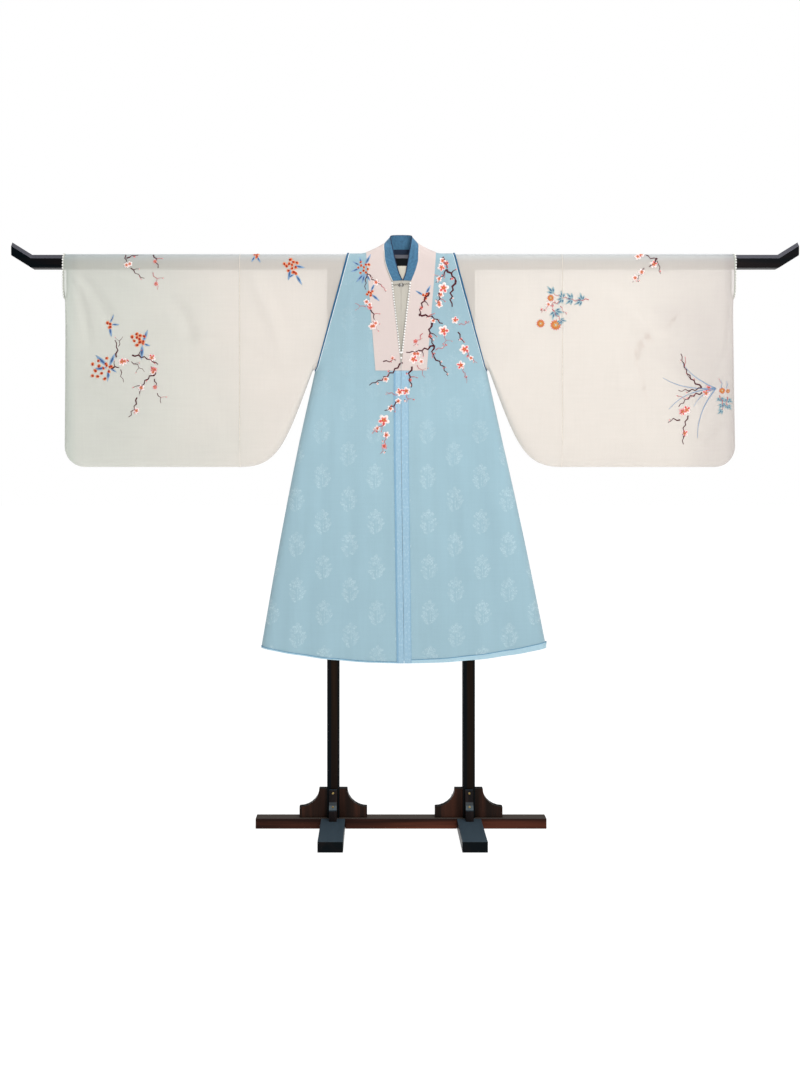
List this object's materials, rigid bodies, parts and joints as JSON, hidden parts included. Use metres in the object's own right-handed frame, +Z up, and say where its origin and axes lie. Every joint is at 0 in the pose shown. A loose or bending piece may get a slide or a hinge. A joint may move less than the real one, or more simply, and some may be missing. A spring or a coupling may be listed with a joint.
{
  "type": "wide-sleeved blouse and sleeveless over-vest on a wooden display stand",
  "caption": "Wide-sleeved blouse with a stand collar under a long flared sleeveless over-vest with pale chest bands, hung by its sleeves on the rod of a dark wooden display stand.",
  "frame": {"origin": "on the floor, under the middle of the rod", "axes": "+Z up, +X to the viewer's right along the rod, the front of the garments faces -Y"},
  "size_m": [2.194, 0.44, 1.659],
  "materials": {
    "wood": "near-black red-brown lacquer, half gloss",
    "cream_cloth": "thin cream plain weave, slightly see-through",
    "vest_blue": "pale blue with tone-on-tone woven sprigs",
    "band_cream": "pale cream with embroidery",
    "strip_blue": "lighter blue with fine lengthwise stripes",
    "piping_blue": "dark blue bound edge",
    "collar_blue": "mid blue with a visible weave",
    "embroidery": "satin stitch in maroon, coral, white, orange, slate and blue green",
    "pearl_trim": "white beads, soft gloss"
  },
  "bodies": {
    "root": {"armhole_piping_left": "piping_blue", "armhole_piping_right": "piping_blue", "band_back": "band_cream", "band_front_left": "band_cream", "band_front_right": "band_cream", "blouse_back": "cream_cloth", "blouse_front_left": "cream_cloth", "blouse_front_right": "cream_cloth", "bracket_left_front": "wood", "bracket_left_inner": "wood", "bracket_left_outer": "wood", "bracket_left_rear": "wood", "bracket_right_front": "wood", "bracket_right_inner": "wood", "bracket_right_outer": "wood", "bracket_right_rear": "wood", "centre_strip_left": "strip_blue", "centre_strip_right": "strip_blue", "collar": "collar_blue", "cuff_left": "pearl_trim", "cuff_right": "pearl_trim", "foot_left": "wood", "foot_right": "wood", "front_clasp": "pearl_trim", "post_left": "wood", "post_right": "wood", "rail": "wood", "rod": "wood", "sleeve_outer_left": "cream_cloth", "sleeve_outer_right": "cream_cloth", "sleeve_upper_left": "cream_cloth", "sleeve_upper_right": "cream_cloth", "throat_clasp": "pearl_trim", "vest_back": "vest_blue", "vest_front_left": "vest_blue", "vest_front_right": "vest_blue"}
  },
  "joints": []
}
